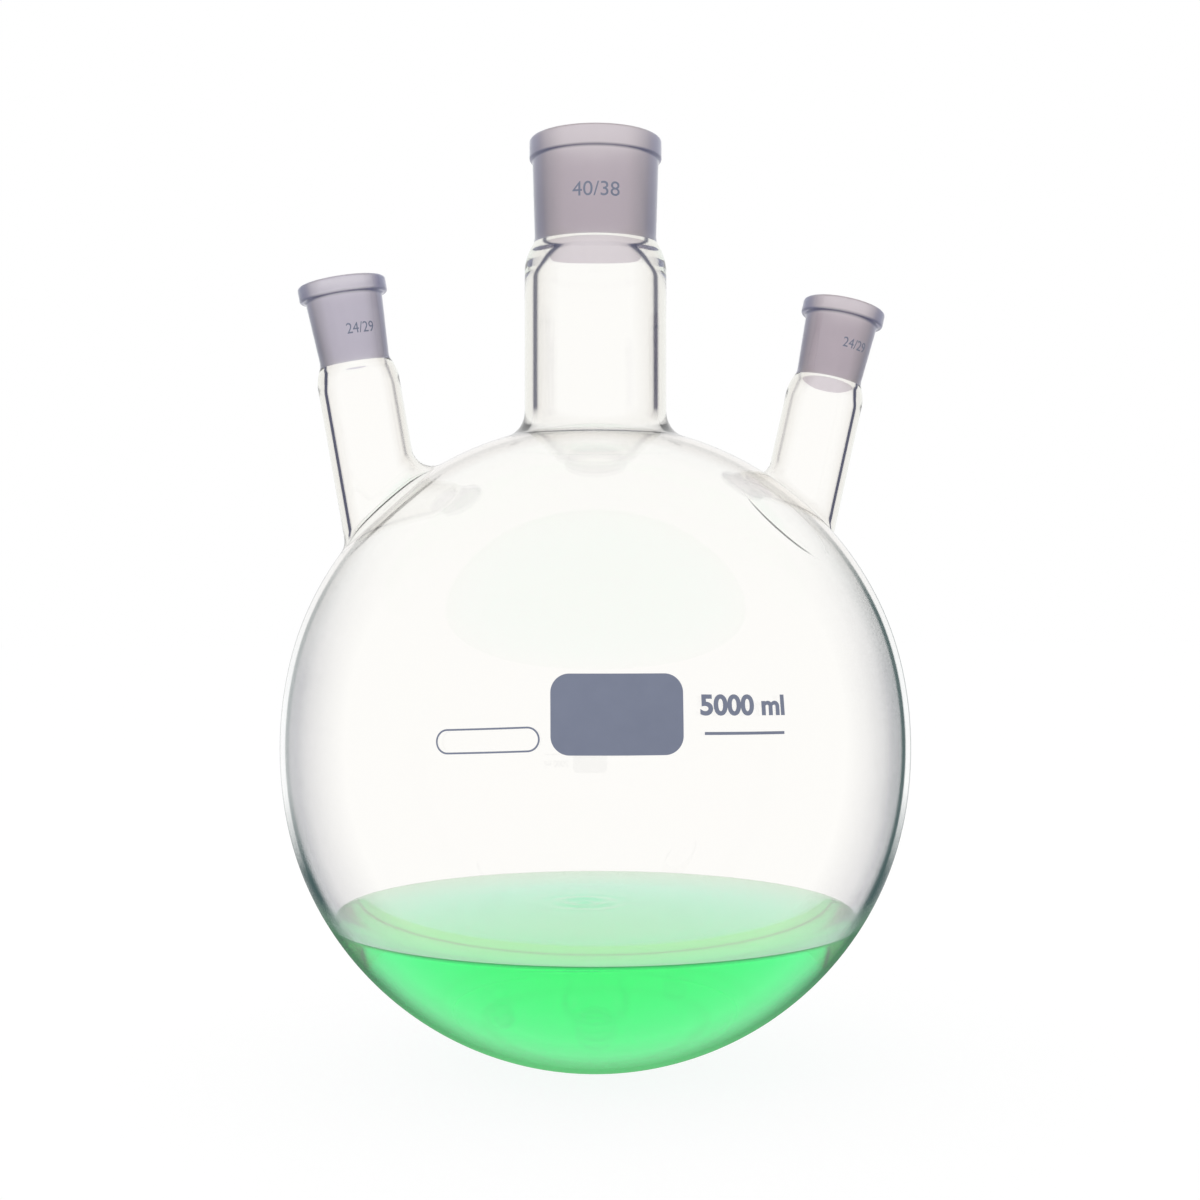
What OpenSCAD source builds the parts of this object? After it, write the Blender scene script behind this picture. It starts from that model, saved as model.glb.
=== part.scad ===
// Three neck round-bottom flask with conical ground joints, part filled with a liquid.
// Millimetres, +Z up. The origin is the lowest point of the ball, on the centre neck's axis.
// The two side necks lean outwards in the XZ plane, and the print is near the front, -Y.

/* [Ball] */
// Outside diameter of the ball
ball_d = 223; // [190:1:260]
// Height of the straight band round the ball's middle
ball_band = 6; // [2:0.5:12]
// Glass thickness of the ball
ball_wall = 2.5; // [1.8:0.1:3.5]

/* [Centre neck] */
// Height of the centre rim above the top of the ball
centre_neck_h = 102.5; // [90:0.5:130]
// Outside diameter of the centre neck's tube
centre_tube_d = 51; // [46:0.5:60]
// Glass thickness of the centre neck's tube
centre_tube_wall = 3.5; // [2:0.1:4.5]
// Large-end bore diameter of the centre joint
centre_joint_d = 40; // [36:0.5:40]
// Length of the centre joint's ground zone
centre_joint_l = 38; // [30:1:45]
// Glass thickness of the centre socket at its rim
centre_socket_wall = 2.9; // [2.2:0.1:3]
// Glass thickness of the centre socket at its foot
centre_foot_wall = 3.8; // [2.5:0.1:3.9]
// How far the centre rim bead stands out from the socket
centre_bead_out = 0.9; // [0.6:0.1:1.5]
// Height of the centre rim bead
centre_bead_h = 7.5; // [5:0.1:10]
// Height of the shoulder between the centre tube and its socket
centre_shoulder_h = 13; // [8:0.5:18]
// Radius of the flare where the centre tube is sealed to the ball
centre_flare_r = 10; // [6:0.5:14]

/* [Side necks] */
// Distance from the flask's axis at which a side neck's axis meets the ball
side_foot_x = 77; // [70:0.5:80]
// Length of a side neck from the ball's surface to its rim, along its axis
side_neck_l = 79.5; // [70:0.5:100]
// Outward lean of the left neck from upright, in degrees
left_lean = 10; // [4:0.1:16]
// Outward lean of the right neck from upright, in degrees
right_lean = 13.2; // [4:0.1:16]
// Outside diameter of a side neck's tube
side_tube_d = 28.5; // [27:0.1:34]
// Glass thickness of a side neck's tube
side_tube_wall = 2.3; // [1.5:0.1:2.6]
// Large-end bore diameter of a side joint
side_joint_d = 24; // [20:0.1:24]
// Length of a side joint's ground zone
side_joint_l = 29; // [24:0.5:34]
// Glass thickness of a side socket at its rim
side_socket_wall = 1.6; // [1.2:0.1:2]
// Glass thickness of a side socket at its foot
side_foot_wall = 1.5; // [1.2:0.1:2]
// How far a side rim bead stands out from the socket
side_bead_out = 1.7; // [0.8:0.1:2.2]
// Height of a side rim bead
side_bead_h = 5.6; // [4:0.1:7]
// Height of the shoulder between a side tube and its socket
side_shoulder_h = 9; // [6:0.5:13]
// Radius of the flare where a side tube is sealed to the ball
side_flare_r = 7; // [4:0.5:9]

/* [Ground joints] */
// Length of ground zone over which the bore narrows by one unit
taper_ratio = 10; // [8:0.5:20]
// Radius that rounds the edges of a rim bead
rim_round = 1.2; // [0.6:0.1:1.8]

/* [Liquid] */
// Height of the liquid's surface above the bottom of the ball
liquid_level = 54; // [20:1:100]
// Gap left between the liquid and the glass
liquid_gap = 0.05; // [0.02:0.01:0.1]

/* [Print] */
// Width of the marking spot
spot_w = 39.4; // [20:0.2:60]
// Height of the marking spot
spot_h = 24; // [12:0.2:34]
// Corner radius of the marking spot
spot_corner_r = 5.6; // [2:0.1:6]
// Thickness of the fired enamel
spot_t = 0.15; // [0.1:0.05:0.4]
// Height of the marking spot's middle above the bottom of the ball
spot_z = 131.5; // [118:0.5:150]
// Turn of the print about the flask's axis, in degrees from the front
print_turn = -9.5; // [-30:0.5:30]

/* [Hidden] */
$fn = 96;

ball_r = ball_d / 2;
ball_in_r = ball_r - ball_wall;
// Centres of the lower and the upper half of the ball
low_z = ball_r;
high_z = ball_r + ball_band;
ball_top_z = high_z + ball_r;

centre_rim_z = ball_top_z + centre_neck_h;
centre_tube_r = centre_tube_d / 2;
side_tube_r = side_tube_d / 2;
// Height at which a side neck's axis comes out of the ball
side_foot_z = high_z + sqrt(ball_r * ball_r - side_foot_x * side_foot_x);

// Depth that a flare is let into the glass it joins, so that no two faces only graze
flare_seat = 0.08;
// Distance of a flare's buried corner inside the two walls it joins
flare_root = 3;
// Stations round a side neck's flare and steps along its curve
flare_stations = 48;
flare_steps = 7;
// Steps along a curve of a turned profile
turn_steps = 8;
// Length of each neck that is buried in the ball before the walls are joined
neck_root = 28;
// How far a bore runs past the rim, so that it cuts clean through
bore_over = 2;

// Points on an arc about c from angle a0 to angle a1
function arc(c, r, a0, a1, n) =
    [for (i = [0:n]) let (a = a0 + (a1 - a0) * i / n) c + r * [cos(a), sin(a)]];

// An S-curve from a wide lower wall up to a narrow upper wall, as two equal-slope arcs.
// The two radii add up to (w*w + h*h) / (2*w), which makes the arcs meet tangentially.
function shoulder(r_low, r_high, z_low, h) =
    let (w = r_low - r_high,
         r_sum = (w * w + h * h) / (2 * w),
         r_out = 0.7 * r_sum,
         r_in = 0.3 * r_sum,
         sweep = asin(h / r_sum))
    concat(arc([r_low - r_out, z_low], r_out, 0, sweep, turn_steps),
           arc([r_high + r_in, z_low + h], r_in, 180 + sweep, 180, turn_steps));

// Half section of a neck's outside, with the rim at z = 0 and the root below.
function neck_section(tube_r, foot_r, socket_r, bead_r, bead_h, joint_l, shoulder_h, length) =
    let (bead_z = rim_round - bead_h,
         under_r = socket_r + (foot_r - socket_r) * bead_h / joint_l)
    concat([[0, -length], [tube_r, -length]],
           shoulder(tube_r, foot_r, -joint_l - 0.75 * shoulder_h, shoulder_h),
           [[under_r, -bead_h]],
           arc([bead_r - rim_round, bead_z], rim_round, -60, 0, turn_steps),
           arc([bead_r - rim_round, -rim_round], rim_round, 0, 90, turn_steps),
           [[0, 0]]);

// Half section of a neck's bore: the ground taper above, the tube's inside below.
function bore_section(tube_r, joint_r, joint_l, shoulder_h, length) =
    let (small_r = joint_r - joint_l / taper_ratio / 2,
         lip = rim_round / 2)
    concat([[0, -length], [tube_r, -length]],
           shoulder(tube_r, small_r, -joint_l - shoulder_h, shoulder_h),
           arc([joint_r + lip, -lip], lip, 180, 90, turn_steps),
           [[joint_r + lip, bore_over], [0, bore_over]]);

// Half section of the flare between an upright tube and the ball's upper half.
// A circle of radius flare_r rests against both walls from outside.
function flare_section(tube_r, wall_r, flare_r) =
    let (seat_r = tube_r - flare_seat,
         c_r = seat_r + flare_r,
         c_z = high_z + sqrt(pow(wall_r - flare_seat + flare_r, 2) - c_r * c_r),
         cross_z = high_z + sqrt(wall_r * wall_r - tube_r * tube_r))
    concat(arc([c_r, c_z], flare_r, 180, 180 + atan((c_z - high_z) / c_r), turn_steps),
           [[tube_r - flare_root, cross_z - flare_root]]);

// A ball-shaped solid of radius r: two half spheres with a short straight band between them.
module ball_form(r) {
    translate([0, 0, low_z]) {
        difference() {
            sphere(r);
            translate([-r, -r, 0]) cube(2 * r);
        }
        cylinder(h = ball_band, r = r);
    }
    translate([0, 0, high_z]) {
        difference() {
            sphere(r);
            translate([-r, -r, -2 * r]) cube(2 * r);
        }
    }
}

// Puts its children on a side neck's axis: the origin at the foot and +Z towards the rim.
module on_side_axis(lean) {
    translate([side_foot_x, 0, side_foot_z]) rotate([0, lean, 0]) children();
}

// Flare between a leaning tube and the ball, in the neck's own frame.
// At each station a small ball of radius flare_r rests against the tube and the sphere, and
// the flare's surface is the short arc on it between the two touching points.
module leaning_flare(lean, tube_r, wall_r, flare_r) {
    seat_r = tube_r - flare_seat;
    rest_r = wall_r - flare_seat + flare_r;
    away = [-side_foot_x, 0, high_z - side_foot_z];
    // Centre of the ball's upper half, seen from the neck's frame
    hub = [away.x * cos(lean) - away.z * sin(lean), 0, away.x * sin(lean) + away.z * cos(lean)];

    // Height on the line through p, along the neck, at distance r from the hub
    function height_at(p, r) =
        let (d = p - [hub.x, hub.y]) hub.z + sqrt(r * r - d * d);

    function station(a) =
        let (out = [cos(a), sin(a)],
             c_xy = (seat_r + flare_r) * out,
             c = [c_xy.x, c_xy.y, height_at(c_xy, rest_r)],
             to_tube = [-out.x, -out.y, 0],
             to_ball = (hub - c) / norm(hub - c),
             sweep = acos(to_tube * to_ball),
             root_xy = (tube_r - flare_root) * out,
             root_z = height_at(tube_r * out, wall_r) - 1.5 * flare_root)
        concat([for (i = [0:flare_steps])
                    let (t = i / flare_steps)
                    c + flare_r * (sin((1 - t) * sweep) * to_tube + sin(t * sweep) * to_ball)
                        / sin(sweep)],
               [[root_xy.x, root_xy.y, root_z]]);

    ring = flare_steps + 2;
    points = [for (s = [0:flare_stations - 1]) each station(360 * s / flare_stations)];
    faces = [for (s = [0:flare_stations - 1], i = [0:ring - 1])
                 let (here = s * ring,
                      next = (s + 1) % flare_stations * ring,
                      j = (i + 1) % ring)
                 each [[here + i, here + j, next + j], [here + i, next + j, next + i]]];
    polyhedron(points, faces);
}

// Everything that the glass and the bore fill together
module outside() {
    ball_form(ball_r);
    translate([0, 0, centre_rim_z]) rotate_extrude()
        polygon(neck_section(centre_tube_r, centre_joint_d / 2 - centre_joint_l / taper_ratio / 2
                             + centre_foot_wall, centre_joint_d / 2 + centre_socket_wall,
                             centre_joint_d / 2 + centre_socket_wall + centre_bead_out,
                             centre_bead_h, centre_joint_l, centre_shoulder_h,
                             centre_neck_h + neck_root));
    rotate_extrude() polygon(flare_section(centre_tube_r, ball_r, centre_flare_r));
    side_outside(right_lean);
    mirror([1, 0, 0]) side_outside(left_lean);
}

module side_outside(lean) {
    on_side_axis(lean) {
        translate([0, 0, side_neck_l]) rotate_extrude()
            polygon(neck_section(side_tube_r, side_joint_d / 2 - side_joint_l / taper_ratio / 2
                                 + side_foot_wall, side_joint_d / 2 + side_socket_wall,
                                 side_joint_d / 2 + side_socket_wall + side_bead_out,
                                 side_bead_h, side_joint_l, side_shoulder_h,
                                 side_neck_l + neck_root));
        leaning_flare(lean, side_tube_r, ball_r, side_flare_r);
    }
}

// The space inside the glass
module inside() {
    ball_form(ball_in_r);
    translate([0, 0, centre_rim_z]) rotate_extrude()
        polygon(bore_section(centre_tube_r - centre_tube_wall, centre_joint_d / 2, centre_joint_l,
                             centre_shoulder_h, centre_neck_h + neck_root));
    rotate_extrude() polygon(flare_section(centre_tube_r - centre_tube_wall, ball_in_r,
                                           centre_flare_r + ball_wall));
    side_inside(right_lean);
    mirror([1, 0, 0]) side_inside(left_lean);
}

module side_inside(lean) {
    on_side_axis(lean) {
        translate([0, 0, side_neck_l]) rotate_extrude()
            polygon(bore_section(side_tube_r - side_tube_wall, side_joint_d / 2, side_joint_l,
                                 side_shoulder_h, side_neck_l + neck_root));
        leaning_flare(lean, side_tube_r - side_tube_wall, ball_in_r, side_flare_r + ball_wall);
    }
}

// The whole flask is one piece of glass: a blown ball with three necks sealed on.
module flask() {
    color([0.86, 0.92, 0.93, 0.45]) difference() {
        outside();
        inside();
    }
}

// The liquid rests in the ball's lower half, under a flat surface.
module liquid() {
    r = ball_in_r - liquid_gap;
    color([0.24, 0.93, 0.5, 0.8]) difference() {
        translate([0, 0, low_z]) sphere(r);
        translate([-ball_r, -ball_r, liquid_level]) cube(ball_d);
    }
}

// A rounded rectangle, centred on the origin
module rounded_plate(w, h, r, t) {
    linear_extrude(t) {
        square([w - 2 * r, h], center = true);
        square([w, h - 2 * r], center = true);
        for (x = [-1, 1], y = [-1, 1])
            translate([x * (w / 2 - r), y * (h / 2 - r)]) circle(r);
    }
}

// The enamel marking spot is a thin skin fired on the outside of the ball.
module marking_spot() {
    color([0.47, 0.5, 0.58]) rotate([0, 0, print_turn]) intersection() {
        difference() {
            ball_form(ball_r + spot_t);
            ball_form(ball_r);
        }
        translate([0, -ball_r / 2, spot_z]) rotate([90, 0, 0])
            rounded_plate(spot_w, spot_h, spot_corner_r, ball_r);
    }
}

flask();
liquid();
marking_spot();
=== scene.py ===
import math

import bmesh
import bpy
import numpy as np
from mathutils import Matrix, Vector
from mathutils.geometry import delaunay_2d_cdt


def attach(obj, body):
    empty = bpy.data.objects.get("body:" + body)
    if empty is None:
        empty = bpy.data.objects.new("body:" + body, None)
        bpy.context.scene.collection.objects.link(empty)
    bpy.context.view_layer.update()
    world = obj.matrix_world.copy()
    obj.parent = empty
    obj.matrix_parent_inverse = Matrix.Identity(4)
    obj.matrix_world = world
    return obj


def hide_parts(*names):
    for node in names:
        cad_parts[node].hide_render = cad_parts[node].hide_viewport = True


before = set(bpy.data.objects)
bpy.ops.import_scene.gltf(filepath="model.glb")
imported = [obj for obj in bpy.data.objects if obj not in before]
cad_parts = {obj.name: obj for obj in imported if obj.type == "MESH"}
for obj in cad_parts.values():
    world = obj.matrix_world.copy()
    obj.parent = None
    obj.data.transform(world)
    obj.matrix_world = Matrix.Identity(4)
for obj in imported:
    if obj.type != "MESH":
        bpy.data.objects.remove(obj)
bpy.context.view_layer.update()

MM = 0.001

# ---------------------------------------------------------------- sizes, in millimetres

BALL_R = 111.5
BAND = 6.0  # height of the straight stretch round the ball's middle
BAND_EASE = 0.4  # share of the radius over which the band fades into the ball
WALL = 2.5
LOW_Z = BALL_R
HIGH_Z = LOW_Z + BAND
MID_Z = LOW_Z + BAND / 2
INNER_R = BALL_R - WALL

# line is the strength of the painted dark line near a tube's edges, a painted shade, towards the
# flask's axis and away
CENTRE = dict(
    foot_x=0.0, lean=0.0, length=102.5, tube_r=25.5, tube_wall=3.5, joint_r=20.0, joint_l=38.0,
    socket_wall=2.9, foot_wall=3.8, bead_out=0.9, bead_h=7.5, step_h=1.6, shoulder_h=13.0,
    flare_r=10.0, stations=144, line=(0.88, 0.88),
)
SIDE_NECK = dict(
    length=79.5, tube_r=14.25, tube_wall=2.3, joint_r=12.0, joint_l=29.0,
    socket_wall=1.6, foot_wall=1.5, bead_out=1.7, bead_h=5.6, step_h=1.9, shoulder_h=9.0,
    flare_r=7.0, stations=112, line=(0.3, 1.8),
)
RIGHT = dict(SIDE_NECK, foot_x=77.0, lean=math.radians(13.2))
LEFT = dict(SIDE_NECK, foot_x=-77.0, lean=math.radians(-10.0))
TAPER = 1 / 20  # narrowing of a ground bore's radius along its length
RIM_ROUND = 1.2
SHOULDER_ABOVE = 0.25  # share of a shoulder's height that is above the end of its joint
SHOULDER_STEPS, SOCKET_STEPS, BEAD_STEPS = 12, 12, 8
FLARE_STEPS, TUBE_ROWS = 14, 10
BALL_POINTS = 15000
POLE_CAP = 0.99  # height on a ball of radius 1, inside the centre neck, where the ball's points end
HOLE_GAP = 0.7  # least gap between a hole's edge and the next point, in spacings of the points

LIQUID_LEVEL = 54.0
LIQUID_OVERLAP = 0.12  # reach of the liquid's mesh into the glass, so that light crosses one wall
MENISCUS_H, MENISCUS_W = 0.5, 0.9
RIPPLE_AT = (1.0, 22.0)
RIPPLE_H, RIPPLE_L, RIPPLE_W = 0.4, 9.0, 13.0
LIQUID_STATIONS, BOWL_ROWS, TOP_ROWS = 160, 70, 110
CONTACT_STEP = 0.0002  # angle from the contact line to a row below it that keeps its normals true
SHORE_W = 30.0  # width of the shore, the part of the liquid's surface near the glass

PRINT_LIFT = 0.08  # height of a print's middle above the glass
PRINT_T = 0.05

# ---------------------------------------------------------------- where looks change

OUTSIDE, GROUND, INSIDE = 0, 1, 2  # the parts of the glass: polished outside, ground, polished inside
# Each look is nothing at the first height and full at the second
HIGH_FADE, LOW_FADE = (140, 185), (102, 74)
WET_FADE, DEEP_FADE = (66, 54), (40, 10)
LIMB_FADE, LIMB_LEAST = (205, 165), 0.2
COOL_FADE = (-30, -40)  # the same along x, for the left neck, whose socket gets a painted bluer shade
LIMB_MIDDLE, LIMB_SIDE = 0.73, 0.25  # strength of the painted shade at the ball's edge at the middle, and what the right side adds
LINE_LATE = 8  # power of the share of neck that keeps a tube's line off its flare

# ---------------------------------------------------------------- curves and surfaces


def unit(v):
    """Each vector along the last axis over its own length."""
    return v / np.linalg.norm(v, axis=-1, keepdims=True)


def rising(values, start, end):
    """0 at start and before it, 1 at end and beyond it, and (value - start) / (end - start)
    between them."""
    return np.clip((values - start) / (end - start), 0, 1)


def arc(centre, r, start, end, steps):
    """Points (r, z) on an arc: centre + r * (cos a, sin a), with a from one angle to the other,
    in degrees."""
    a = np.radians(np.linspace(start, end, steps + 1))
    return np.stack([centre[0] + r * np.cos(a), centre[1] + r * np.sin(a)], 1)


def line(start, end, steps):
    """Evenly spaced points, start * (1 - t) + end * t, both ends included."""
    t = np.linspace(0, 1, steps + 1)[:, None]
    return np.array(start) * (1 - t) + np.array(end) * t


def s_curve(start, end, share, steps):
    """Two arcs of equal slope that take a vertical wall at start to a vertical wall at end.
    Their radii add up to (w*w + h*h) / (2*w), and share is the first arc's part of that."""
    (r0, z0), (r1, z1) = start, end
    w, h = abs(r1 - r0), z1 - z0
    radii = (w * w + h * h) / (2 * w)
    first, second = share * radii, (1 - share) * radii
    way = math.copysign(1, r1 - r0)
    sweep = math.asin(abs(h) / radii)
    a = np.linspace(0, sweep, steps + 1)
    up = math.copysign(1, h)
    low = np.stack([r0 + way * first * (1 - np.cos(a)), z0 + up * first * np.sin(a)], 1)
    b = a[::-1][1:]
    top = np.stack([r1 - way * second * (1 - np.cos(b)), z1 - up * second * np.sin(b)], 1)
    return np.concatenate([low, top])


def joined(*curves):
    """Curves end to end, without the points that two of them share."""
    rows = [curves[0]]
    for curve in curves[1:]:
        same = np.linalg.norm(curve[0] - rows[-1][-1]) < 1e-6
        rows.append(curve[1:] if same else curve)
    return np.concatenate(rows)


def grid_faces(rows, columns):
    """Quads of a grid that closes on itself along its columns, wound so that rows run upwards
    on a surface seen from outside."""
    i, j = np.meshgrid(np.arange(rows - 1), np.arange(columns), indexing="ij")
    k = (j + 1) % columns
    this, above = i * columns, (i + 1) * columns
    return np.stack([this + j, this + k, above + k, above + j], -1).reshape(-1, 4)


def grid_normals(grid):
    """Normals of a grid that closes along its columns: the cross product of the mean
    direction round it and the mean direction along its rows."""
    along = np.zeros_like(grid)
    steps = np.diff(grid, axis=0)
    steps = steps / np.maximum(np.linalg.norm(steps, axis=-1, keepdims=True), 1e-9)
    along[:-1] += steps
    along[1:] += steps
    around = np.roll(grid, -1, 1) - np.roll(grid, 1, 1)
    return unit(np.cross(around, along))


# ---------------------------------------------------------------- the glass


def neck_profile(neck):
    """Half section (r, z) of a neck above its tube, with the rim at z = 0: the outside from the
    shoulder to the rim, then the bore down to the inside of the tube. Returns the points and
    for each the part of the glass that it belongs to."""
    joint_l, shoulder_h, bead_h = neck["joint_l"], neck["shoulder_h"], neck["bead_h"]
    joint_r, tube_r = neck["joint_r"], neck["tube_r"]
    small_r = joint_r - joint_l * TAPER
    socket_r, foot_r = joint_r + neck["socket_wall"], small_r + neck["foot_wall"]
    bead_r = socket_r + neck["bead_out"]
    step_h = neck["step_h"]
    under_z = -bead_h - step_h / 2
    under_r = socket_r + (foot_r - socket_r) * -under_z / joint_l
    lip = RIM_ROUND / 2
    shoulder_z = SHOULDER_ABOVE * shoulder_h - joint_l
    outside = joined(
        s_curve((tube_r, shoulder_z - shoulder_h), (foot_r, shoulder_z), 0.7, SHOULDER_STEPS),
        line((foot_r, shoulder_z), (under_r, under_z), SOCKET_STEPS),
        s_curve((under_r, under_z), (bead_r, under_z + step_h), 0.5, BEAD_STEPS),
        line((bead_r, under_z + step_h), (bead_r, -RIM_ROUND), steps=4),
        arc((bead_r - RIM_ROUND, -RIM_ROUND), RIM_ROUND, 0, 90, steps=10),
    )
    ground = joined(
        line((bead_r - RIM_ROUND, 0), (joint_r + lip, 0), steps=3),
        arc((joint_r + lip, -lip), lip, 90, 180, steps=6),
        line((joint_r, -lip), (small_r, -joint_l), steps=24),
    )
    inner_r = tube_r - neck["tube_wall"]
    inside = s_curve((small_r, -joint_l), (inner_r, -joint_l - shoulder_h), 0.3, SHOULDER_STEPS)
    profile = joined(outside, ground, inside)
    part = np.full(len(profile), INSIDE)
    part[: len(outside) + len(ground) - 1] = GROUND
    part[: len(outside)] = OUTSIDE
    return profile, part


def flare_rows(hub, out, tube_r, wall_r, flare_r, steps):
    """The fillet between a tube and the ball, as rows from the ball to the tube. At each station
    a small ball of radius flare_r rests against both, with its centre c, and the rows share out
    the arc on it from the direction of the ball's hub to the direction of the tube."""
    c_xy = (tube_r + flare_r) * out
    off = c_xy - hub[:2]
    c_z = hub[2] + np.sqrt((wall_r + flare_r) ** 2 - (off**2).sum(1))
    c = np.column_stack([c_xy, c_z])
    to_tube = np.column_stack([-out, np.zeros(len(out))])
    to_ball = unit(hub - c)
    sweep = np.arccos((to_tube * to_ball).sum(1))[:, None]
    t = np.linspace(0, 1, steps + 1)[:, None, None]
    toward = np.sin((1 - t) * sweep) * to_ball + np.sin(t * sweep) * to_tube
    return c + flare_r * toward / np.sin(sweep)


def neck_surface(neck):
    """A whole neck as one grid: up its outside from the ball, over the rim, and down its bore to the
    inside of the ball. It is made upright and then leant: (x cos + z sin, y, z cos - x sin), moved to
    its foot. Returns the grid in the flask's frame, each row's part, and for each point its share of
    neck, which rises from 0 to 1 over a flare, its line tone, the strength of a painted dark line, and
    its crease, which is the sine of the way across the hollow under the rim bead and sets the painted
    shade there."""
    lean, foot_x = neck["lean"], neck["foot_x"]
    foot_z = HIGH_Z + math.sqrt(BALL_R**2 - foot_x**2)
    away = np.array([-foot_x, 0, HIGH_Z - foot_z])
    cos, sin = math.cos(lean), math.sin(lean)
    hub = np.array([away[0] * cos - away[2] * sin, 0, away[0] * sin + away[2] * cos])
    turn = np.linspace(0, 2 * math.pi, neck["stations"], endpoint=False)
    out = np.column_stack([np.cos(turn), np.sin(turn)])

    tube_r, inner_r = neck["tube_r"], neck["tube_r"] - neck["tube_wall"]
    profile, part = neck_profile(neck)
    upper = np.empty((len(profile), len(turn), 3))
    upper[..., :2] = profile[:, 0, None, None] * out
    upper[..., 2] = profile[:, 1, None] + neck["length"]

    outer_flare = flare_rows(hub, out, tube_r, BALL_R, neck["flare_r"], FLARE_STEPS)
    inner_flare = flare_rows(hub, out, inner_r, INNER_R, neck["flare_r"] + WALL, FLARE_STEPS)[::-1]
    t = np.linspace(0, 1, TUBE_ROWS)[1:-1, None, None]
    outer_tube = outer_flare[-1] * (1 - t) + upper[0] * t
    inner_tube = upper[-1] * (1 - t) + inner_flare[0] * t
    rows = [outer_flare, outer_tube, upper, inner_tube, inner_flare]
    below = len(outer_flare) + len(outer_tube)
    beneath = len(inner_tube) + len(inner_flare)
    part = np.concatenate([np.full(below, OUTSIDE), part, np.full(beneath, INSIDE)])

    fade = np.linspace(0, 1, len(outer_flare))
    share = np.ones(sum(len(r) for r in rows))
    share[: len(fade)], share[-len(fade):] = fade, fade[::-1]
    near, far = neck["line"]
    away_from_axis = (1 + out[:, 0] * np.sign(foot_x)) / 2
    line_tone = share[:, None] ** LINE_LATE * (near + (far - near) * away_from_axis)
    crease = np.zeros_like(line_tone)
    under = below + 2 * SHOULDER_STEPS + SOCKET_STEPS + np.arange(2 * BEAD_STEPS + 1)
    crease[under] = np.sin(np.linspace(0, math.pi, len(under)))[:, None]

    grid = np.concatenate(rows)
    placed = grid.copy()
    placed[..., 0] = grid[..., 0] * cos + grid[..., 2] * sin + foot_x
    placed[..., 2] = grid[..., 2] * cos - grid[..., 0] * sin + foot_z
    return placed, part, np.broadcast_to(share[:, None], crease.shape), line_tone, crease


def ball_points(directions, r):
    """The ball's surface in the given unit directions d: (r*dx, r*dy, mid + r*dz + half the
    band * ease), where ease runs smoothly from -1 below the band to 1 above it."""
    angle = np.clip(directions[:, 2] / BAND_EASE, -1, 1) * math.pi / 2
    points = directions * r
    points[:, 2] += MID_Z + BAND / 2 * np.sin(angle)
    return points


def ball_normals(directions, r):
    """The normals of ball_points, from the slope of its height."""
    angle = np.clip(directions[:, 2] / BAND_EASE, -1, 1) * math.pi / 2
    steeper = BAND / 2 * np.cos(angle) * math.pi / 2 / BAND_EASE / r
    return unit(directions * np.column_stack([1 + steeper, 1 + steeper, np.ones(len(directions))]))


def winding(points, loop):
    """Turns that a flat loop makes round each flat point, which is the sum of the angles between
    its neighbours as seen from there, over 2 pi: 0 outside it, 1 or -1 inside."""
    to = loop[None] - points[:, None]
    angle = np.arctan2(to[..., 1], to[..., 0])
    step = np.diff(np.concatenate([angle, angle[:, :1]], 1), axis=1)
    step = (step + math.pi) % (2 * math.pi) - math.pi
    return np.rint(step.sum(1) / (2 * math.pi))


def ball_sheet(r, loops):
    """The ball between its three holes. Directions spread evenly by the golden angle are laid
    flat by the projection from the top pole, (x, y) / (1 - z), meshed there with the holes'
    edges, and put back. Returns the new directions and triangles that count the loops first."""
    k = np.arange(BALL_POINTS)
    z = 1 - (2 * k + 1) / BALL_POINTS
    turn = k * math.pi * (3 - math.sqrt(5))
    spread = np.column_stack([np.sqrt(1 - z * z) * np.cos(turn), np.sqrt(1 - z * z) * np.sin(turn), z])
    spacing = math.sqrt(4 * math.pi / BALL_POINTS)

    def flat(d):
        return d[:, :2] / (1 - d[:, 2:])

    edges, keep, first = [], spread[:, 2] < POLE_CAP, 0
    loops = [unit(loop - np.array([0, 0, HIGH_Z])) for loop in loops]
    for number, loop in enumerate(loops):
        count = len(loop)
        here = first + np.arange(count)
        edges += np.column_stack([here, np.roll(here, -1)]).tolist()
        first += count
        near = (spread @ loop.T).max(1) > math.cos(HOLE_GAP * spacing)
        inside = winding(flat(spread), flat(loop)) != 0
        keep &= ~near & (inside if number == 0 else ~inside)
    spread = spread[keep]
    plane = flat(np.concatenate([*loops, spread])).tolist()
    whole_hull, merge_at = 0, 1e-9
    _, _, faces, origin, _, _ = delaunay_2d_cdt(plane, edges, [], whole_hull, merge_at)
    back = np.array([o[0] for o in origin])
    faces = back[np.array(faces)]
    starts = np.cumsum([0] + [len(loop) for loop in loops])
    for number in range(1, len(loops)):
        on_loop = (faces >= starts[number]) & (faces < starts[number + 1])
        faces = faces[~on_loop.all(1)]
    return spread, faces


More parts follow.
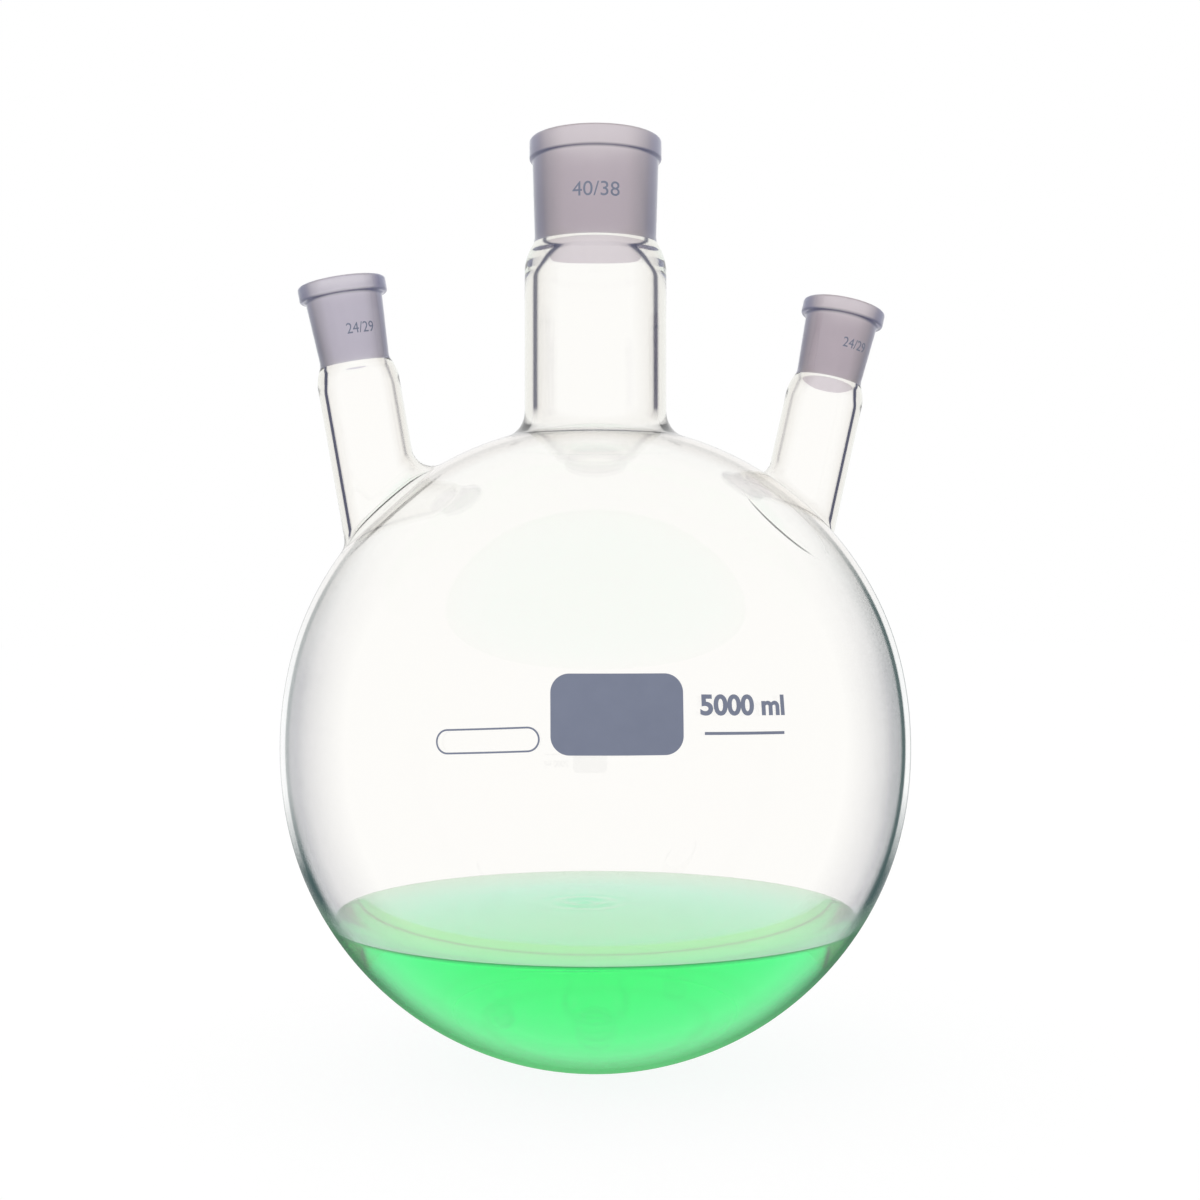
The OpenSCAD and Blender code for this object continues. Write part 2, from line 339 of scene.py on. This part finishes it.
def flask_shape():
    """The whole flask as one closed surface: three neck grids, and the outer and the inner
    sheet of the ball between their edges. Returns its points, faces, normals and the masks
    that the glass's finish reads."""
    points, normals, faces, parts, outer, inner, count = [], [], [], [], [], [], 0
    shares, lines, creases = [], [], []
    for neck in (CENTRE, RIGHT, LEFT):
        grid, part, share, line_tone, crease = neck_surface(neck)
        rows, columns = grid.shape[:2]
        points.append(grid.reshape(-1, 3))
        normals.append(grid_normals(grid).reshape(-1, 3))
        faces.append(grid_faces(rows, columns) + count)
        strip = np.maximum(part[:-1], np.where(part[1:] == GROUND, GROUND, OUTSIDE))
        parts.append(np.repeat(strip, columns))
        shares.append(share.ravel())
        lines.append(line_tone.ravel())
        creases.append(crease.ravel())
        outer.append(count + np.arange(columns))
        inner.append(count + (rows - 1) * columns + np.arange(columns))
        count += rows * columns
    tris, tri_parts = [], []
    for r, loops, facing, part in ((BALL_R, outer, 1, OUTSIDE), (INNER_R, inner, -1, INSIDE)):
        edge = np.concatenate(loops)
        known = np.concatenate(points)
        spread, found = ball_sheet(r, [known[loop] for loop in loops])
        index = np.concatenate([edge, count + np.arange(len(spread))])
        found = index[found]
        tris.append(found[:, ::-1] if facing == 1 else found)
        tri_parts.append(np.full(len(found), part))
        on_ball = ball_points(spread, r)
        points.append(on_ball)
        normals.append(facing * ball_normals(spread, r))
        for values in (shares, lines, creases):
            values.append(np.zeros(len(spread)))
        count += len(spread)
    points, normals = np.concatenate(points), np.concatenate(normals)
    for r, loops, facing in ((BALL_R, outer, 1), (INNER_R, inner, -1)):
        edge = np.concatenate(loops)
        normals[edge] = facing * unit(points[edge] - np.array([0, 0, HIGH_Z]))
    faces = np.concatenate(faces).tolist() + np.concatenate(tris).tolist()
    parts = np.concatenate(parts + tri_parts)
    x, z, share = points[:, 0], points[:, 2], np.concatenate(shares)
    # The ball's edge gets painted shade by these masks: stronger on the right than on the left, full on
    # its lower part, and faint near its top
    low = rising(z, *LOW_FADE)
    side = LIMB_MIDDLE + LIMB_SIDE * x / BALL_R
    downwards = np.maximum(rising(z, *LIMB_FADE), LIMB_LEAST)
    masks = {
        "inside": parts == INSIDE, "ground": parts == GROUND, "neck": share,
        "line": np.concatenate(lines), "crease": np.concatenate(creases),
        "high": rising(z, *HIGH_FADE), "low": low, "cool": rising(x, *COOL_FADE),
        "wet": rising(z, *WET_FADE), "deep": rising(z, *DEEP_FADE),
        "limb": (1 - share) * (side + (1 - side) * low) * downwards,
    }
    return points, faces, normals, masks


# ---------------------------------------------------------------- the liquid


def liquid_height(x, y, edge):
    """Height of the liquid's surface: the level, a meniscus that fades from the glass as
    exp(-distance / width), and damped rings, cos(2 pi d / length) * exp(-(d / width)^2), at the
    distance d from where a drop has fallen."""
    r = np.hypot(x, y)
    meniscus = MENISCUS_H * np.exp(-(edge - r) / MENISCUS_W)
    d = np.hypot(x - RIPPLE_AT[0], y - RIPPLE_AT[1])
    ripple = RIPPLE_H * np.cos(2 * math.pi * d / RIPPLE_L) * np.exp(-((d / RIPPLE_W) ** 2))
    return LIQUID_LEVEL + meniscus + ripple


def liquid_shape():
    """A closed surface: rings up the inside of the ball from its lowest point to the contact
    line, then rings inwards over the liquid's surface to its middle, closer together near the
    glass: edge * (1 - t * t). Returns its points, faces, normals and the masks that its
    finish reads."""
    stations, r = LIQUID_STATIONS, INNER_R + LIQUID_OVERLAP
    contact_z = LIQUID_LEVEL + MENISCUS_H
    end = math.acos((LOW_Z - contact_z) / r)
    polar = np.append(np.linspace(0, end, BOWL_ROWS)[1:-1], [end - CONTACT_STEP, end])
    edge = r * math.sin(polar[-1])
    turn = np.linspace(0, 2 * math.pi, stations, endpoint=False)
    out = np.column_stack([np.cos(turn), np.sin(turn)])
    bowl = np.empty((len(polar), stations, 3))
    bowl[..., :2] = r * np.sin(polar)[:, None, None] * out
    bowl[..., 2] = (LOW_Z - r * np.cos(polar))[:, None]
    inwards = edge * (1 - np.linspace(0, 1, TOP_ROWS) ** 2)[1:-1]
    top = np.empty((len(inwards), stations, 3))
    top[..., :2] = inwards[:, None, None] * out
    top[..., 2] = liquid_height(top[..., 0], top[..., 1], edge)
    grid = np.concatenate([bowl, top])
    rows = len(grid)
    ends = np.array([[0, 0, LOW_Z - r], [0, 0, liquid_height(0, 0, edge)]])
    normals = np.concatenate([grid_normals(grid).reshape(-1, 3), [[0, 0, -1], [0, 0, 1]]])
    points = np.concatenate([grid.reshape(-1, 3), ends])
    here = np.arange(stations)
    after = np.roll(here, -1)
    last = (rows - 1) * stations
    low = np.column_stack([np.full(stations, rows * stations), after, here])
    high = np.column_stack([np.full(stations, rows * stations + 1), last + here, last + after])
    faces = grid_faces(rows, stations).tolist() + low.tolist() + high.tolist()
    row = np.append(np.repeat(np.arange(rows), stations), [0, rows])
    off_edge = edge - np.hypot(points[:, 0], points[:, 1])
    masks = {
        "top": row >= len(bowl), "brim": (row < len(bowl)) & (row >= len(bowl) - 2),
        "shore": rising(off_edge, SHORE_W, 0),
    }
    return points, faces, normals, masks


# ---------------------------------------------------------------- meshes


def make_piece(
    name, points, faces, finish, normals=None, masks=None, stands_for=None, smooth=True
):
    """A mesh in metres that rides on the flask. masks are values per face or per point, which
    its finish reads as attributes."""
    mesh = bpy.data.meshes.new(name)
    mesh.from_pydata((np.asarray(points) * MM).tolist(), [], faces)
    mesh.polygons.foreach_set("use_smooth", np.full(len(mesh.polygons), smooth))
    mesh.materials.append(finish)
    for attribute, values in (masks or {}).items():
        domain = "FACE" if len(values) == len(mesh.polygons) else "POINT"
        layer = mesh.attributes.new(attribute, "FLOAT", domain)
        layer.data.foreach_set("value", values.astype(np.float32))
    mesh.update()
    if normals is not None:
        mesh.normals_split_custom_set_from_vertices(normals.tolist())
    piece = bpy.data.objects.new(name, mesh)
    bpy.context.scene.collection.objects.link(piece)
    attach(piece, "root")
    if stands_for:
        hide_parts(stands_for)
    return piece


# ---------------------------------------------------------------- materials


class Value:
    """A shader socket that can be used in Python expressions, each adding its Math node."""

    def __init__(self, finish, socket):
        self.finish, self.socket = finish, socket

    def math(self, operation, *values):
        """A Math node with the given values, in their order."""
        return self.finish.node("ShaderNodeMath", {"operation": operation}, dict(enumerate(values)))

    def __add__(self, other):
        return self.math("ADD", self, other)

    def __sub__(self, other):
        return self.math("SUBTRACT", self, other)

    def __rsub__(self, other):
        return self.math("SUBTRACT", other, self)

    def __mul__(self, other):
        return self.math("MULTIPLY", self, other)

    def __truediv__(self, other):
        return self.math("DIVIDE", self, other)

    def __rtruediv__(self, other):
        return self.math("DIVIDE", other, self)

    def exponential(self):
        return self.math("EXPONENT", self)

    def larger(self, other):
        return self.math("MAXIMUM", self, other)

    def below(self, limit):
        """1 where the value is less than limit, and otherwise 0."""
        return self.math("LESS_THAN", self, limit)

    def clamped(self):
        """The same value, kept between 0 and 1."""
        self.socket.node.use_clamp = True
        return self

    __radd__, __rmul__ = __add__, __mul__


class Finish:
    """A material or a world, with one method that adds any node."""

    def __init__(self, name, owner=None):
        self.data = owner or bpy.data.materials.new(name)
        self.data.use_nodes = True
        self.tree = self.data.node_tree
        self.tree.nodes.clear()
        kind = "ShaderNodeOutputWorld" if owner else "ShaderNodeOutputMaterial"
        self.output = self.tree.nodes.new(kind)

    def node(self, kind, settings=None, values=None, out=0):
        """Adds a node: its settings first, then the values or links of its sockets. A ramp's
        stops are its pairs of place and colour."""
        made = self.tree.nodes.new(kind)
        for key, value in (settings or {}).items():
            if key == "stops":
                ramp = made.color_ramp
                while len(ramp.elements) < len(value):
                    ramp.elements.new(1.0)
                for element, (place, colour) in zip(ramp.elements, value):
                    element.position, element.color = place, colour
            else:
                setattr(made, key, value)
        for key, value in (values or {}).items():
            self.put(value, made.inputs[key])
        return Value(self, made.outputs[out])

    def put(self, value, socket):
        """Links a value to a socket, or sets a number or colour on it."""
        if isinstance(value, Value):
            self.tree.links.new(value.socket, socket)
        else:
            socket.default_value = value

    def mix(self, factor, a, b):
        """A shader mix: a where factor is 0 and b where it is 1."""
        return self.node("ShaderNodeMixShader", {}, {0: factor, 1: a, 2: b})

    def blend(self, factor, a, b):
        """A colour mix: a where factor is 0 and b where it is 1."""
        settings = {"data_type": "RGBA", "clamp_factor": True}
        return self.node("ShaderNodeMix", settings, {0: factor, 6: a, 7: b}, out=2)

    def tone(self, r, g, b):
        """A plain unlit tone, of an sRGB colour."""
        return self.node("ShaderNodeEmission", {}, {"Color": rgb(r, g, b), "Strength": 1.0})

    def attribute(self, name):
        """A mask of the mesh."""
        return self.node("ShaderNodeAttribute", {"attribute_name": name}, out="Fac")

    def place(self):
        """Object coordinates."""
        return self.node("ShaderNodeTexCoord", out="Object")

    def show(self, surface, volume=None):
        """Ends the material or world in its output, and returns it."""
        self.put(surface, self.output.inputs["Surface"])
        if volume is not None:
            self.put(volume, self.output.inputs["Volume"])
        return self.data


def rgb(r, g, b):
    """An sRGB colour of 0 to 255 as the linear colour that a socket takes."""
    c = np.array([r, g, b]) / 255
    linear = np.where(c <= 0.04045, c / 12.92, ((c + 0.055) / 1.055) ** 2.4)
    return (*linear.tolist(), 1.0)


def lets_lamps_through(finish, shader):
    """Glass that a lamp shines through: shadow rays see a clear shader."""
    shadow = finish.node("ShaderNodeLightPath", out="Is Shadow Ray")
    clear = finish.node("ShaderNodeBsdfTransparent", {}, {0: (1, 1, 1, 1)})
    return finish.mix(shadow, shader, clear)


def per_wall(colour):
    """The base colour that tints light by the given colour each time it crosses a surface,
    because a clear shader tints by the root of its base colour."""
    return (*[c * c for c in colour[:3]], 1.0)


GLASS_IOR, LIQUID_IOR = 1.473, 1.333
GROUND_ROUGHNESS, OUTER_SCATTER = 0.5, 0.25  # of the ground zones, and their milkiness from outside
CREASE_SHADE = 0.9
FIRST_WALLS = 1.5  # a ray that has been through fewer walls sees the milky zones and dark lines
REFLECTION_SHARE, REFLECTION_SHORE, BRIM_LINE = 0.28, 0.22, 0.85  # strengths of the painted reflection on the liquid's surface, and of the painted dark line at its brim
DYE, DYE_DENSITY = (0.0, 0.995, 0.80, 1.0), 52.0  # a metre of liquid absorbs density * (1 - dye)

# How a wall tints what is seen through it, by the facing value at its outer surface, which runs from 0
# in the middle to 1 at the edge: these tones are painted shade and painted light that stand in for the
# surroundings seen through the glass. The ball greys towards its edge, clears in a narrow band and ends
# grey; a tube turns a little beige; the ball's top is warmer and paler.
CLEAR, GREY, PALE, GREY_EDGE = (255, 253, 250), (207, 205, 208), (247, 248, 248), (196, 202, 202)
BEIGE, BEIGE_EDGE, WARM, WARM_EDGE = (236, 232, 226), (242, 242, 236), (242, 237, 233), (210, 208, 204)
BALL_TONES = [
    (0.40, CLEAR), (0.68, GREY), (0.75, GREY), (0.82, PALE), (0.93, PALE), (1.0, GREY_EDGE),
]
NECK_TONES = [(0.15, CLEAR), (0.45, BEIGE), (1.0, BEIGE_EDGE)]
HIGH_TONES = [(0.67, CLEAR), (0.75, WARM), (0.90, WARM), (1.0, WARM_EDGE)]
# How dark the painted line at a tube's inner wall is, by the facing value on that wall from within the
# glass: an unlit tone, a painted shade in place of dark surroundings. It peaks at the critical angle,
# 0.266, where a ray is bent furthest aside.
NECK_LINE = [
    (0.205, 0.0), (0.225, 0.12), (0.238, 0.6), (0.246, 1.0), (0.270, 1.0), (0.278, 0.5),
    (0.288, 0.05), (0.31, 0.0),
]
# How dark the painted shade at the ball's own edge is, by the facing value on its outside, an unlit
# tone in place of dark surroundings: a fine line with a bright band beyond it; lower down, a broad one;
# and beside the liquid, a soft one
LIMB_LINE = [
    (0.50, 0.0), (0.60, 0.08), (0.66, 0.24), (0.75, 0.46), (0.765, 0.8), (0.775, 1.0),
    (0.808, 1.0), (0.822, 0.25), (0.835, 0.0), (0.92, 0.0), (0.95, 0.5), (1.0, 0.7),
]
LIMB_LOW = [
    (0.60, 0.0), (0.71, 0.22), (0.745, 0.55), (0.770, 0.92), (0.80, 1.0), (0.88, 0.9),
    (1.0, 0.65),
]
LIMB_WET = [
    (0.58, 0.0), (0.68, 0.15), (0.73, 0.35), (0.78, 0.6), (0.845, 0.85), (1.0, 0.9),
]


def glass_finish():
    """Borosilicate glass: clear walls with soft tones, which are painted shade and painted light, a
    painted dark line near their edges, and ground zones that are milky. Its masks are attributes of the
    mesh: inside and ground are 1 on such faces, neck runs from 0 on the ball to 1 on a tube, line is
    the painted line's strength, crease is 1 in the hollow under a rim bead, where shade is painted,
    high is 1 at the ball's top, which is painted warmer and paler, low on its lower half, wet where the
    liquid reaches and deep near its bottom, limb is the strength of the painted shade at the ball's own
    edge, and cool is 1 on the left neck, whose socket gets a painted bluer shade."""
    f = Finish("borosilicate_glass")
    facing = f.node("ShaderNodeLayerWeight", {}, {"Blend": 0.5}, out="Facing")
    within = f.node("ShaderNodeNewGeometry", out="Backfacing")
    names = ("inside", "ground", "neck", "line", "crease", "high", "low", "wet", "deep", "limb", "cool")
    inside, ground, neck, line_tone, crease, high, low, wet, deep, limb, cool = map(f.attribute, names)

    def ramp(stops):
        return f.node("ShaderNodeValToRGB", {"stops": stops}, {0: facing})

    def tones(stops):
        return ramp([(place, per_wall(rgb(*colour))) for place, colour in stops])

    def levels(stops):
        return ramp([(place, (level, level, level, 1)) for place, level in stops])

    # Painted shade and painted light by facing: the ball's tones, warmer and paler at its top, and the
    # tubes' tones; where the liquid reaches, a faint green tint instead; walls seen from within, and
    # the inner ones, are left white
    colour = f.blend(high, tones(BALL_TONES), tones(HIGH_TONES))
    colour = f.blend(neck, colour, tones(NECK_TONES))
    colour = f.blend(wet, colour, per_wall(rgb(232, 254, 249)))
    colour = f.blend((within + inside).clamped(), colour, (1, 1, 1, 1))
    # Painted shade in the hollow under a rim bead
    colour = f.blend(crease * CREASE_SHADE, colour, per_wall(rgb(112, 110, 146)))
    # The left socket gets a painted bluer shade, in its tint and in its milky colour
    ground_tint = f.blend(cool, per_wall(rgb(222, 215, 222)), per_wall(rgb(227, 224, 234)))
    colour = f.blend(ground, colour, ground_tint)
    grain = f.node("ShaderNodeTexNoise", {}, {"Vector": f.place(), "Scale": 900.0, "Detail": 3.0})
    bump = f.node("ShaderNodeBump", {}, {"Strength": 0.1, "Distance": 0.0002, "Height": grain * ground})
    values = {
        "Base Color": colour, "Roughness": ground * GROUND_ROUGHNESS, "IOR": GLASS_IOR,
        "Transmission Weight": 1.0, "Normal": bump,
    }
    clear = f.node("ShaderNodeBsdfPrincipled", {}, values)

    # Ground glass scatters: near its edge, where clear glass would mirror, it is wholly milky, and its
    # colour turns from pale to a darker blue, a painted shade; the translucent shaders themselves are
    # lit.
    shade = levels([(0.10, 0.0), (0.22, 0.45), (0.30, 0.8), (0.38, 1.0)]) * within
    pale = f.node("ShaderNodeBsdfTranslucent", {}, {"Color": rgb(223, 215, 224)})
    blue = f.node("ShaderNodeBsdfTranslucent", {}, {"Color": rgb(152, 156, 192)})
    bluer = f.node("ShaderNodeBsdfTranslucent", {}, {"Color": rgb(228, 224, 236)})
    milky = f.mix(shade, f.mix(cool, pale, bluer), blue)
    scatter = levels([(0.08, 0.3), (0.20, 0.6), (0.27, 1.0)]) * within + OUTER_SCATTER * (1 - within)
    first = f.node("ShaderNodeLightPath", out="Transmission Depth").below(FIRST_WALLS)
    body = f.mix(ground * scatter * first, clear, milky)

    # The painted dark line near a tube's edges: an unlit tone, a painted shade
    painted_line_mask = levels(NECK_LINE) * within * inside * line_tone * first
    body = f.mix(painted_line_mask, body, f.tone(62, 66, 98))

    # Painted shade at the ball's edge: an unlit grey, and an unlit green where the liquid stands behind
    # it, paler near its bottom
    edge = f.blend(low, levels(LIMB_LINE), levels(LIMB_LOW))
    edge = f.blend(wet, edge, levels(LIMB_WET))
    green = f.mix(deep, f.tone(44, 108, 70), f.tone(78, 186, 104))
    dark = f.mix(wet, f.tone(68, 90, 90), green)
    body = f.mix(edge * limb * (1 - inside) * (1 - within), body, dark)
    f.data.cycles.emission_sampling = "NONE"
    volume = f.node("ShaderNodeVolumeAbsorption", {}, {"Color": rgb(196, 226, 214), "Density": 5.0})
    return f.show(lets_lamps_through(f, body), volume)


def green_liquid():
    """Dyed water: its colour comes from the length of liquid that the light crosses, under a faint
    painted reflection on its surface, unlit tones where the mask top is 1, and a painted dark line
    along its brim, a painted shade. The mask shore rises to 1 at the glass."""
    f = Finish("green_liquid")
    values = {
        "Base Color": (1, 1, 1, 1), "Roughness": 0.0, "IOR": LIQUID_IOR, "Transmission Weight": 1.0,
    }
    body = f.node("ShaderNodeBsdfPrincipled", {}, values)
    within = f.node("ShaderNodeNewGeometry", out="Backfacing")
    above, shore = f.attribute("top") * (1 - within), f.attribute("shore")
    # Painted reflection on the liquid's surface: unlit tones, greener and stronger near the glass
    painted_reflection = f.mix(shore, f.tone(240, 220, 200), f.tone(190, 220, 192))
    body = f.mix(above * (REFLECTION_SHARE + shore * REFLECTION_SHORE), body, painted_reflection)
    # Painted shade: a dark unlit line along the brim
    body = f.mix(f.attribute("brim") * (1 - within) * BRIM_LINE, body, f.tone(44, 150, 82))
    f.data.cycles.emission_sampling = "NONE"
    volume = f.node("ShaderNodeVolumeAbsorption", {}, {"Color": DYE, "Density": DYE_DENSITY})
    return f.show(lets_lamps_through(f, body), volume)


def enamel():
    """Blue grey enamel fired on the glass: matt, and slightly cloudy."""
    f = Finish("fired_enamel")
    noise = f.node("ShaderNodeTexNoise", {}, {"Vector": f.place(), "Scale": 160.0, "Detail": 4.0})
    colour = f.blend(noise, rgb(116, 123, 144), rgb(124, 131, 152))
    values = {"Base Color": colour, "Roughness": 0.42}
    return f.show(f.node("ShaderNodeBsdfPrincipled", {}, values))


# ---------------------------------------------------------------- prints


def on_ball(turn, z, tilt):
    """A place for a print: flat (u, v, w) goes to the ball, u along a ring, v along a meridian
    and w outwards, to r * (sin a cos b, -cos a cos b, sin b) about the ball's upper centre. turn
    is its middle's angle from the front, tilt its own turn on the glass."""
    latitude = math.asin((z - HIGH_Z) / BALL_R)

    def place(flat):
        u = flat[:, 0] * math.cos(tilt) - flat[:, 1] * math.sin(tilt)
        v = flat[:, 0] * math.sin(tilt) + flat[:, 1] * math.cos(tilt)
        along = turn + u / BALL_R / math.cos(latitude)
        up = latitude + v / BALL_R
        r = BALL_R + PRINT_LIFT + flat[:, 2]
        ring = r * np.cos(up)
        return np.column_stack([ring * np.sin(along), -ring * np.cos(along), HIGH_Z + r * np.sin(up)])

    return place


def on_socket(neck, below, turn):
    """A place for a print: u round the socket, v along it and w outwards, to
    (r sin a, -r cos a, length - down) on the upright neck, which is then leant. below is its
    middle's distance from the rim, turn its middle's angle from the front."""
    lean, foot_x, joint_l = neck["lean"], neck["foot_x"], neck["joint_l"]
    socket_r = neck["joint_r"] + neck["socket_wall"]
    foot_r = neck["joint_r"] - joint_l * TAPER + neck["foot_wall"]
    foot_z = HIGH_Z + math.sqrt(BALL_R**2 - foot_x**2)

    def place(flat):
        down = below - flat[:, 1]
        r = socket_r + (foot_r - socket_r) * down / joint_l + PRINT_LIFT + flat[:, 2]
        along = turn + flat[:, 0] / socket_r
        x, y, z = r * np.sin(along), -r * np.cos(along), neck["length"] - down
        cos, sin = math.cos(lean), math.sin(lean)
        return np.column_stack([x * cos + z * sin + foot_x, y, z * cos - x * sin + foot_z])

    return place


def lettering(name, words, width, height, place, bold=0.0):
    """Raised enamel lettering: flat text of the given size, with its edges closed, put in place."""
    text = bpy.data.curves.new(name, "FONT")
    text.body, text.offset, text.extrude = words, bold, 0.5
    holder = bpy.data.objects.new(name, text)
    bpy.context.scene.collection.objects.link(holder)
    solid = holder.evaluated_get(bpy.context.evaluated_depsgraph_get())
    mesh = bpy.data.meshes.new_from_object(solid)
    bpy.data.objects.remove(holder)
    shape = bmesh.new()
    shape.from_mesh(mesh)
    bmesh.ops.remove_doubles(shape, verts=shape.verts, dist=1e-5)
    shape.to_mesh(mesh)
    shape.free()
    flat = np.empty(3 * len(mesh.vertices))
    mesh.vertices.foreach_get("co", flat)
    flat = flat.reshape(-1, 3)
    corners, starts = np.empty(len(mesh.loops), int), np.empty(len(mesh.polygons), int)
    mesh.loops.foreach_get("vertex_index", corners)
    mesh.polygons.foreach_get("loop_start", starts)
    faces = [face.tolist() for face in np.split(corners, starts[1:])]
    bpy.data.meshes.remove(mesh)
    low, high = flat.min(0), flat.max(0)
    flat = (flat - (low + high) / 2) / (high - low) * [width, height, PRINT_T]
    make_piece(name, place(flat), faces, ENAMEL, smooth=False)


def outlined_capsule(name, width, height, stroke, place):
    """A thin band round a capsule: its outline, moved out and in by half the stroke, on top and
    underneath."""
    r = height / 2
    ends = width / 2 - r
    right = arc((ends, 0), r, -90, 90, steps=24)
    left = arc((-ends, 0), r, 90, 270, steps=24)
    below = line((-ends, -r), (ends, -r), steps=30)
    above = line((ends, r), (-ends, r), steps=30)
    outline = joined(below, right, above, left)[:-1]
    spine = np.column_stack([np.clip(outline[:, 0], -ends, ends), np.zeros(len(outline))])
    out = unit(outline - spine)
    rows = []
    for side, up in ((1, -1), (1, 1), (-1, 1), (-1, -1)):
        edge = outline + out * side * stroke / 2
        rows.append(np.column_stack([edge, np.full(len(edge), up * PRINT_T / 2)]))
    faces = grid_faces(len(rows), len(outline)).tolist()
    n = len(outline)
    here = np.arange(n)
    after = np.roll(here, -1)
    faces += np.column_stack([3 * n + here, 3 * n + after, after, here]).tolist()
    make_piece(name, place(np.concatenate(rows)), faces, ENAMEL, smooth=False)


def bar(name, width, height, place):
    """A plain bar: the four corners of its section carried along it, and closed at both ends."""
    u = np.linspace(-width / 2, width / 2, 40)
    ring = np.array([(-1, -1), (1, -1), (1, 1), (-1, 1)]) * [height / 2, PRINT_T / 2]
    n = len(ring)
    flat = np.column_stack([np.repeat(u, n), np.tile(ring, (len(u), 1))])
    first, last = np.arange(n)[::-1], n * (len(u) - 1) + np.arange(n)
    faces = grid_faces(len(u), n).tolist() + [first.tolist(), last.tolist()]
    make_piece(name, place(flat), faces, ENAMEL, smooth=False)


# ---------------------------------------------------------------- the pieces

points, faces, normals, masks = flask_shape()
make_piece(
    "flask_glass", points, faces, glass_finish(), normals=normals, masks=masks,
    stands_for="flask",
)
points, faces, normals, masks = liquid_shape()
make_piece(
    "liquid_body", points, faces, green_liquid(), normals=normals, masks=masks,
    stands_for="liquid",
)
ENAMEL = enamel()
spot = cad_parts["marking_spot"].data
spot.materials.clear()
spot.materials.append(ENAMEL)

place = on_ball(turn=math.radians(10.97), z=133.8, tilt=math.radians(-1.2))
lettering("capacity_print", "5000 ml", width=28.7, height=6.4, place=place, bold=0.034)
place = on_ball(turn=math.radians(11.1), z=125.4, tilt=math.radians(-1.0))
bar("capacity_rule", width=27.2, height=0.9, place=place)
place = on_ball(turn=math.radians(-29.8), z=123.5, tilt=math.radians(2.8))
outlined_capsule("label_capsule", width=32.4, height=7.0, stroke=0.55, place=place)
place = on_socket(CENTRE, below=22.6, turn=math.radians(-12.4))
lettering("centre_size_print", "40/38", width=17.2, height=5.0, place=place)
place = on_socket(LEFT, below=18.0, turn=math.radians(12))
lettering("left_size_print", "24/29", width=10.5, height=3.6, place=place)
place = on_socket(RIGHT, below=15.8, turn=math.radians(14))
lettering("right_size_print", "24/29", width=10.5, height=3.6, place=place)

# ---------------------------------------------------------------- stage, light and camera

# Sizes in metres from here on
FLOOR_HALF = 8.0
FLOOR_WHITE = 1.04  # the floor's level to the camera, a little over white
SHADE_R, SHADE_UNDER = 0.14, 0.16  # the floor's shade under the ball, seen through the glass
SHADOW = 0.12  # share of the lit floor, with its real shadow, that the camera sees
SEEN_STUDIO, SOFT_STUDIO = 1.0, 0.8  # the surroundings as they are seen, and as they light
LAMP_AT, LAMP_AIM = Vector((-0.9, -0.9, 1.1)), Vector((0, 0, 0.15))
LAMP_POWER, LAMP_SIZE = 4.0, 0.7
CAMERA_AT = Vector((-0.1359, -0.5957, 0.1612))
CAMERA_AIM = Vector((0.2250, 0.9744, math.tan(math.radians(0.46))))
LENS, SENSOR = 51.0, 36.0

floor_mesh = bpy.data.meshes.new("floor")
square = FLOOR_HALF * np.array([(-1, -1, 0), (1, -1, 0), (1, 1, 0), (-1, 1, 0)])
floor_mesh.from_pydata(square.tolist(), [], [(0, 1, 2, 3)])
floor = bpy.data.objects.new("floor", floor_mesh)
bpy.context.scene.collection.objects.link(floor)


def seen_directly(f):
    """1 for rays that show the background: the camera's, and those through or off the glass."""
    seen = f.node("ShaderNodeLightPath", out="Is Camera Ray")
    for other in ("Is Glossy Ray", "Is Transmission Ray"):
        seen = seen.larger(f.node("ShaderNodeLightPath", out=other))
    return seen


def floor_finish():
    """Pale floor: white to the camera, through glass and in reflections, with a faint shadow.
    Seen through the glass, it is exactly white, less a shade exp(-(distance / radius)^2)."""
    f = Finish("pale_floor")
    length = f.node("ShaderNodeVectorMath", {"operation": "LENGTH"}, {0: f.place()}, out="Value")
    beside = length / SHADE_R
    under = (beside * beside * -1).exponential()
    bent = f.node("ShaderNodeLightPath", out="Is Transmission Ray")
    level = FLOOR_WHITE - (FLOOR_WHITE - 1 + under * SHADE_UNDER) * bent
    white = f.node("ShaderNodeEmission", {}, {"Color": (1, 1, 1, 1), "Strength": level})
    diffuse = f.node("ShaderNodeBsdfDiffuse", {}, {"Color": (0.9, 0.9, 0.9, 1)})
    camera = f.node("ShaderNodeLightPath", out="Is Camera Ray")
    shown = seen_directly(f) - camera * SHADOW
    return f.show(f.mix(shown, diffuse, white))


floor_mesh.materials.append(floor_finish())

world = bpy.data.worlds.new("studio")
bpy.context.scene.world = world
w = Finish("studio", world)
white = w.node("ShaderNodeBackground", {}, {"Color": (1, 1, 1, 1), "Strength": SEEN_STUDIO})
soft = w.node("ShaderNodeBackground", {}, {"Color": (1, 1, 1, 1), "Strength": SOFT_STUDIO})
w.show(w.mix(seen_directly(w), soft, white))


def stand(name, data, at, towards):
    """A lamp or camera at its place, turned to look along a direction."""
    made = bpy.data.objects.new(name, data)
    made.location = at
    made.rotation_mode = "QUATERNION"
    made.rotation_quaternion = towards.to_track_quat("-Z", "Y")
    bpy.context.scene.collection.objects.link(made)
    return made


lamp_data = bpy.data.lights.new("softbox", "AREA")
lamp_data.energy, lamp_data.size = LAMP_POWER, LAMP_SIZE
lamp = stand("softbox", lamp_data, LAMP_AT, LAMP_AIM - LAMP_AT)
lamp.visible_glossy = lamp.visible_transmission = False

camera_data = bpy.data.cameras.new("camera")
camera_data.lens, camera_data.sensor_width = LENS, SENSOR
scene = bpy.context.scene
scene.camera = stand("camera", camera_data, CAMERA_AT, CAMERA_AIM)
scene.view_settings.view_transform = "Standard"
scene.cycles.max_bounces = 24
scene.cycles.transmission_bounces = 20
scene.cycles.glossy_bounces = 12
scene.cycles.transparent_max_bounces = 24
